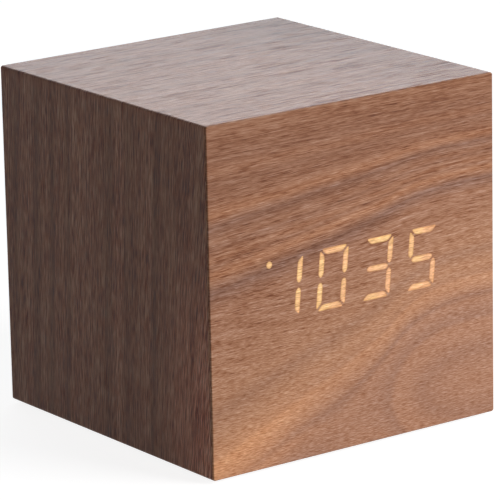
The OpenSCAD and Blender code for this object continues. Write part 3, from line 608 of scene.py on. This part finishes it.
def make_grey_ribbon():
    """Flat cable: raised ridges, one for each core, with painted shade in the grooves between them, and a red
    core at one edge.
    """
    shade = Shade("grey_ribbon", Specular_IOR_Level=0.4)
    x, y, z = shade.place()
    core_pitch = 1.0
    across = shade.math("SUBTRACT", x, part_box("ribbon_cable")[0].x / MM)
    relief_and_painted_shade = shade.math("PINGPONG", across, core_pitch / 2)
    red = shade.step(across, core_pitch * 0.9, core_pitch, 1.0, 0.0)
    dust = shade.noise(shade.stretched(x, y, z, 0.6, 0.6, 0.6, 2.0), 3.0)
    colour = shade.mix(red, linear(150, 154, 160), linear(168, 42, 36))
    # Painted shade and light: the grey is painted darker in the grooves between the cores and paler on their
    # ridges.
    shade.set("Base Color", shade.tint(colour, shade.total(0.62, (relief_and_painted_shade, 0.6), (dust, 0.25))))
    shade.set("Roughness", shade.total(0.4, (dust, 0.2)))
    shade.bump(relief_and_painted_shade, 0.3)
    return shade.material


def make_materials():
    made = {
        "walnut_front": make_walnut_front(),
        "walnut_wrap": make_walnut_wrap(),
        "lit_figures": make_lit_figures(),
        "fibreboard": make_fibreboard(),
        "pine": make_pine(),
        "black_plastic": make_black_plastic(),
        "button_plastic": make_button_plastic(),
        "green_board": make_green_board(),
        "grey_ribbon": make_grey_ribbon(),
        "cell_jacket": make_cell_jacket("cell_jacket", 1),
        "cell_jacket_turned": make_cell_jacket("cell_jacket_turned", -1),
        "bright_screws": make_metal("bright_screws", linear(150, 152, 156), linear(206, 208, 212), 0.34),
        "black_screws": make_metal("black_screws", linear(34, 34, 37), linear(72, 72, 76), 0.42),
        "tin_can": make_metal("tin_can", linear(158, 160, 164), linear(214, 216, 220), 0.3),
        "nickel": make_metal("nickel", linear(164, 162, 156), linear(222, 220, 214), 0.26),
    }
    # Dark and light colour, speckles in a millimetre, roughness, and relief in millimetres
    plain = {
        "milky_film": ((224, 222, 212), (240, 238, 230), 1.5, 0.5, 0.01),
        "mask_plastic": ((26, 26, 28), (40, 40, 43), 3.0, 0.7, 0.03),
        "led_chips": ((228, 206, 140), (244, 230, 184), 4.0, 0.35, 0.02),
        "chip_plastic": ((24, 24, 26), (44, 44, 47), 6.0, 0.6, 0.02),
        "plunger_plastic": ((202, 198, 186), (222, 219, 208), 4.0, 0.4, 0.01),
        "switch_plastic": ((50, 53, 58), (72, 75, 80), 4.0, 0.5, 0.02),
        "red_wire": ((160, 30, 24), (194, 46, 38), 2.0, 0.4, 0.01),
        "black_wire": ((18, 18, 20), (36, 36, 38), 2.0, 0.4, 0.01),
        "plug_plastic": ((220, 215, 200), (238, 234, 222), 3.0, 0.45, 0.01),
        "foot_rubber": ((26, 26, 27), (46, 46, 46), 5.0, 0.85, 0.04),
    }
    for name, (dark, light, per_mm, roughness, bump_mm) in plain.items():
        made[name] = speckled(name, linear(*dark), linear(*light), per_mm, roughness, bump_mm)
    return made


def dress_nodes(materials):
    """Gives each CAD node the material of its slot in the record."""
    for part in frame["record"]["subparts"]:
        node = nodes[part["node"]]
        node.data.materials.clear()
        node.data.materials.append(materials[part["material_slot"]])
    middle = nodes["battery_cell_middle"]
    middle.data.materials.clear()
    middle.data.materials.append(materials["cell_jacket_turned"])


# Meshes

# Radius of the case's long edges and the least that is left of it further in, width of the seam round the
# front, and rounding of the front and rear edges
CORNER_MM = 0.6
LEAST_CORNER_MM = 0.08
SEAM_MM = 0.06
FRONT_EDGE_MM = 0.3
REAR_EDGE_MM = 0.25
EDGE_STEPS = 4
# Rounding of the lit bars' corners, and the width of their dimmer rims
TIP_SOFT_MM = 0.6
CORE_INSET_MM = 0.42


def add_piece(name, points, faces, material):
    mesh = bpy.data.meshes.new(name)
    mesh.from_pydata(points, [], faces)
    mesh.update()
    mesh.materials.append(material)
    piece = bpy.data.objects.new(name, mesh)
    bpy.context.scene.collection.objects.link(piece)
    return piece


def rounded_square(half, radius, steps=6):
    """Points of a square with round corners, counter-clockwise in X and Z, around the case's middle."""
    middle_z = (CASE_LOW_Z + HALF_SIDE_MM) * MM
    points = []
    for corner in range(4):
        turn = math.radians(90 * corner)
        for k in range(steps + 1):
            angle = math.radians(90 * k / steps)
            x = half - radius + radius * math.cos(angle)
            z = half - radius + radius * math.sin(angle)
            points.append((x * math.cos(turn) - z * math.sin(turn),
                           middle_z + x * math.sin(turn) + z * math.cos(turn)))
    return points


def case_ring(inset_mm, y, corner_mm):
    """A ring of the case's outline at y metres, taken in by inset_mm."""
    half = (HALF_SIDE_MM - inset_mm) * MM
    radius = max(corner_mm - inset_mm, LEAST_CORNER_MM) * MM
    return [(x, y, z) for x, z in rounded_square(half, radius)]


def bridge(rings, closed=False):
    """Faces between consecutive rings of equal length, and from the last to the first if closed."""
    count = len(rings[0])
    pairs = len(rings) if closed else len(rings) - 1
    faces = []
    for i in range(pairs):
        here = i * count
        there = (i + 1) % len(rings) * count
        for k in range(count):
            after = (k + 1) % count
            faces.append((here + k, here + after, there + after, there + k))
    return faces


def rounded_rim(edge_y, inward, radius_mm, corner_mm):
    """Rings of a quarter-round edge that ends at edge_y. inward is +1 or -1, away from that end along Y."""
    rings = []
    for k in range(EDGE_STEPS + 1):
        angle = math.radians(90 * k / EDGE_STEPS)
        inset = radius_mm * (1 - math.cos(angle))
        y = edge_y + inward * radius_mm * MM * (1 - math.sin(angle))
        rings.append(case_ring(inset, y, corner_mm))
    return rings


def make_wrap(materials):
    """The folded veneer: a thin square tube with a seam at the front and a worn edge at the rear."""
    low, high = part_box("veneer_wrap")
    veneer_mm = (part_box("front_veneer")[1].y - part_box("front_veneer")[0].y) / MM
    rings = [case_ring(SEAM_MM, low.y, CORNER_MM), case_ring(0.0, low.y + SEAM_MM * MM, CORNER_MM)]
    rings += rounded_rim(high.y, -1, REAR_EDGE_MM, CORNER_MM)
    rings += [case_ring(veneer_mm, high.y, CORNER_MM), case_ring(veneer_mm, low.y, CORNER_MM)]
    points = [point for ring in rings for point in ring]
    faces = [tuple(reversed(face)) for face in bridge(rings, closed=True)]
    piece = add_piece("walnut_wrap", points, faces, materials["walnut_wrap"])
    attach(piece, "case")
    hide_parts("veneer_wrap")


# Figures, taken from the outlines of the CAD's lit segments

def front_outlines(node):
    """Outlines in X and Z of a node's faces that look forwards, one for each separate patch."""
    work = bmesh.new()
    work.from_mesh(node.data)
    bmesh.ops.remove_doubles(work, verts=work.verts, dist=1e-6)
    work.normal_update()
    front = {face for face in work.faces if face.normal.y < -0.99}
    rim = {}
    for face in front:
        for loop in face.loops:
            others = [other for other in loop.edge.link_faces if other in front and other is not face]
            if not others:
                rim[loop.vert] = loop.link_loop_next.vert
    outlines = []
    while rim:
        start, vert = rim.popitem()
        outline = [start.co.copy()]
        while vert is not start:
            outline.append(vert.co.copy())
            vert = rim.pop(vert)
        outlines.append([Vector((co.x, co.z)) for co in outline])
    work.free()
    return sorted(outlines, key=lambda outline: (sum(p.x for p in outline) / len(outline), outline[0].y))


def without_straight_points(outline):
    kept = []
    count = len(outline)
    for k, point in enumerate(outline):
        before = (point - outline[k - 1]).normalized()
        after = (outline[(k + 1) % count] - point).normalized()
        if before.dot(after) < 0.9999:
            kept.append(point)
    return kept


def softened(outline, radius, steps=4):
    """The outline with each corner drawn as a small curve."""
    points = []
    count = len(outline)
    for k, corner in enumerate(outline):
        to_last = outline[k - 1] - corner
        to_next = outline[(k + 1) % count] - corner
        start = corner + to_last.normalized() * min(radius, to_last.length * 0.45)
        end = corner + to_next.normalized() * min(radius, to_next.length * 0.45)
        for i in range(steps + 1):
            t = i / steps
            points.append((1 - t) ** 2 * start + 2 * t * (1 - t) * corner + t * t * end)
    return points


def area_of(outline):
    return 0.5 * sum(a.cross(b) for a, b in zip(outline, outline[1:] + outline[:1]))


def offset(outline, distance):
    """The outline moved outwards by distance, or inwards if it is negative. It runs counter-clockwise."""
    moved = []
    count = len(outline)
    for k, point in enumerate(outline):
        before = (point - outline[k - 1]).normalized()
        after = (outline[(k + 1) % count] - point).normalized()
        outward = Vector((before.y + after.y, -before.x - after.x))
        if outward.length > 1e-9:
            outward.normalize()
        reach = max(0.4, outward.dot(Vector((after.y, -after.x))))
        moved.append(point + outward * (distance / reach))
    return moved


def inside(point, outline):
    found = False
    for a, b in zip(outline, outline[1:] + outline[:1]):
        if (a.y > point.y) != (b.y > point.y):
            if point.x < a.x + (point.y - a.y) / (b.y - a.y) * (b.x - a.x):
                found = not found
    return found


def figure_outlines():
    outlines = []
    for outline in front_outlines(nodes["lit_segments"]):
        outline = without_straight_points(outline)
        if area_of(outline) < 0:
            outline.reverse()
        # A bar has few corners, and a dot is a fine circle.
        is_bar = len(outline) < 12
        outlines.append(softened(outline, TIP_SOFT_MM * MM) if is_bar else outline)
    return outlines


def make_figures(materials, outlines):
    """One flush, closed plate for each lit bar and dot, with an inner ring for its brighter core."""
    low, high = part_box("lit_segments")
    points, faces, core = [], [], []
    for outline in outlines:
        inner = offset(outline, -CORE_INSET_MM * MM)
        count = len(outline)
        first = len(points)
        points += [(p.x, low.y, p.y) for p in inner]
        points += [(p.x, low.y, p.y) for p in outline]
        points += [(p.x, high.y, p.y) for p in outline]
        core += [1.0] * count + [0.0] * (2 * count)
        rings = bridge([range(count)] * 3)
        faces += [tuple(first + index for index in reversed(face)) for face in rings]
        faces.append(tuple(first + k for k in range(count)))
        faces.append(tuple(first + 2 * count + k for k in reversed(range(count))))
    piece = add_piece("lit_figures", points, faces, materials["lit_figures"])
    attribute = piece.data.attributes.new("core", "FLOAT", "POINT")
    attribute.data.foreach_set("value", core)
    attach(piece, "case")
    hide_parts("lit_segments")


def holed_face(points, rim, outlines, y):
    """Triangles that fill a rim, apart from the outlines, and the outlines' own points, which it adds at y.

    rim and the holes that it returns are lists of indices. Triangles run counter-clockwise in X and Z.
    """
    flat = [Vector((points[k][0], points[k][2])) for k in rim]
    index = list(rim)
    loops = [list(range(len(rim)))]
    for outline in outlines:
        loops.append(list(range(len(flat), len(flat) + len(outline))))
        index += range(len(points), len(points) + len(outline))
        flat += outline
        points += [(p.x, y, p.y) for p in outline]
    edges = [edge for loop in loops for edge in zip(loop, loop[1:] + loop[:1])]
    made, _, triangles, sources, _, _ = delaunay_2d_cdt(flat, edges, [], 1, 1e-7)
    faces = []
    for triangle in triangles:
        middle = sum((made[k] for k in triangle), Vector((0, 0))) / 3
        if not any(inside(middle, outline) for outline in outlines):
            faces.append(tuple(index[sources[k][0]] for k in triangle))
    return faces, [[index[k] for k in loop] for loop in loops[1:]]


def make_front(materials, outlines):
    """The front veneer: rounded edges, and a hole right through it for each lit figure."""
    low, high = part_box("front_veneer")
    rings = [case_ring(SEAM_MM, high.y, CORNER_MM), case_ring(0.0, high.y - SEAM_MM * MM, CORNER_MM)]
    rings += rounded_rim(low.y, 1, FRONT_EDGE_MM, CORNER_MM)
    points = [point for ring in rings for point in ring]
    count = len(rings[0])
    faces = bridge(rings)
    back_rim = range(count)
    front_rim = range(len(points) - count, len(points))
    front, front_holes = holed_face(points, front_rim, outlines, low.y)
    back, back_holes = holed_face(points, back_rim, outlines, high.y)
    faces += front
    faces += [tuple(reversed(face)) for face in back]
    for near, far in zip(front_holes, back_holes):
        for k in range(len(near)):
            faces.append((near[k], far[k], far[k - 1], near[k - 1]))
    piece = add_piece("walnut_front", points, faces, materials["walnut_front"])
    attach(piece, "case")
    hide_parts("front_veneer")


# Studio

# Place of the camera as seen from the middle of the case, in degrees and metres, and the way that it looks
CENTRE = Vector((0.0, 0.0, (CASE_LOW_Z + HALF_SIDE_MM) * MM))
CAMERA_AZIMUTH = -36.34
CAMERA_ELEVATION = 15.07
CAMERA_DISTANCE = 0.943
CAMERA_YAW = -36.37
CAMERA_PITCH = 15.23
CAMERA_ROLL = -1.155
FOCAL_PIXELS = 4103.0
SENSOR_MM = 36.0
# Light from all around, and the floor with its own glow, which only direct looks at it see
AMBIENT = 0.04
FLOOR_GLOW = 0.87
FLOOR_COLOUR = (0.38, 0.38, 0.38, 1.0)
FLOOR_HALF = 4.0


def axes(azimuth, elevation, roll=0.0):
    """Right, up and backward directions of a camera that looks from there towards the object."""
    azimuth, elevation, roll = (math.radians(value) for value in (azimuth, elevation, roll))
    back = Vector((math.sin(azimuth) * math.cos(elevation), -math.cos(azimuth) * math.cos(elevation),
                   math.sin(elevation)))
    right = Vector((math.cos(azimuth), math.sin(azimuth), 0.0))
    up = back.cross(right)
    return (right * math.cos(roll) + up * math.sin(roll), up * math.cos(roll) - right * math.sin(roll), back)


def looking(directions, position):
    matrix = Matrix([[d[k] for d in directions] for k in range(3)]).to_4x4()
    matrix.translation = position
    return matrix


def make_camera():
    data = bpy.data.cameras.new("camera")
    data.sensor_fit = "HORIZONTAL"
    data.sensor_width = SENSOR_MM
    data.lens = FOCAL_PIXELS * SENSOR_MM / IMAGE_PIXELS
    data.clip_start = 0.05
    data.clip_end = 50.0
    camera = bpy.data.objects.new("camera", data)
    bpy.context.scene.collection.objects.link(camera)
    position = CENTRE + axes(CAMERA_AZIMUTH, CAMERA_ELEVATION)[2] * CAMERA_DISTANCE
    camera.matrix_world = looking(axes(CAMERA_YAW, CAMERA_PITCH, CAMERA_ROLL), position)
    bpy.context.scene.camera = camera


def add_softbox(name, azimuth, elevation, distance, width, height, power, colour=(1.0, 1.0, 1.0)):
    data = bpy.data.lights.new(name, "AREA")
    data.shape = "RECTANGLE"
    data.size = width
    data.size_y = height
    data.energy = power
    data.color = colour
    lamp = bpy.data.objects.new(name, data)
    bpy.context.scene.collection.objects.link(lamp)
    directions = axes(azimuth, elevation)
    lamp.matrix_world = looking(directions, CENTRE + directions[2] * distance)


def seen_directly(tree):
    """1 for camera, glossy and transmission rays, which see the white studio, and 0 for the rest."""
    path = tree.nodes.new("ShaderNodeLightPath")
    result = None
    for name in ("Is Camera Ray", "Is Glossy Ray", "Is Transmission Ray"):
        if result is None:
            result = path.outputs[name]
            continue
        larger = tree.nodes.new("ShaderNodeMath")
        larger.operation = "MAXIMUM"
        tree.links.new(result, larger.inputs[0])
        tree.links.new(path.outputs[name], larger.inputs[1])
        result = larger.outputs[0]
    return result


def make_world():
    world = bpy.data.worlds.new("studio")
    bpy.context.scene.world = world
    world.use_nodes = True
    tree = world.node_tree
    background = tree.nodes["Background"]
    background.inputs["Color"].default_value = (1.0, 1.0, 1.0, 1.0)
    strength = tree.nodes.new("ShaderNodeMapRange")
    strength.inputs["To Min"].default_value = AMBIENT
    strength.inputs["To Max"].default_value = 1.0
    tree.links.new(seen_directly(tree), strength.inputs["Value"])
    tree.links.new(strength.outputs[0], background.inputs["Strength"])


def make_floor():
    """A pale floor that looks white where it is lit and keeps the object's shadow."""
    shade = Shade("pale_floor", Roughness=1.0, Specular_IOR_Level=0.0)
    shade.set("Base Color", FLOOR_COLOUR)
    shade.set("Emission Color", (1.0, 1.0, 1.0, 1.0))
    glow = shade.math("MULTIPLY", seen_directly(shade.material.node_tree), FLOOR_GLOW)
    shade.set("Emission Strength", glow)
    half = FLOOR_HALF
    corners = [(-half, -half, 0.0), (half, -half, 0.0), (half, half, 0.0), (-half, half, 0.0)]
    floor = add_piece("floor", corners, [(0, 1, 2, 3)], shade.material)


def make_studio():
    make_world()
    make_floor()
    add_softbox("key_softbox", azimuth=32.0, elevation=18.0, distance=0.9,
                width=0.55, height=0.55, power=8.65)
    add_softbox("back_softbox", azimuth=150.0, elevation=22.0, distance=2.4,
                width=2.0, height=1.0, power=22.5, colour=(0.89, 0.945, 1.0))
    add_softbox("fill_softbox", azimuth=-95.0, elevation=20.0, distance=2.2,
                width=1.6, height=1.2, power=2.3)


scene = bpy.context.scene
scene.view_settings.view_transform = "Standard"
make_camera()
materials = make_materials()
dress_nodes(materials)
lit = figure_outlines()
make_wrap(materials)
make_front(materials, lit)
make_figures(materials, lit)
make_studio()
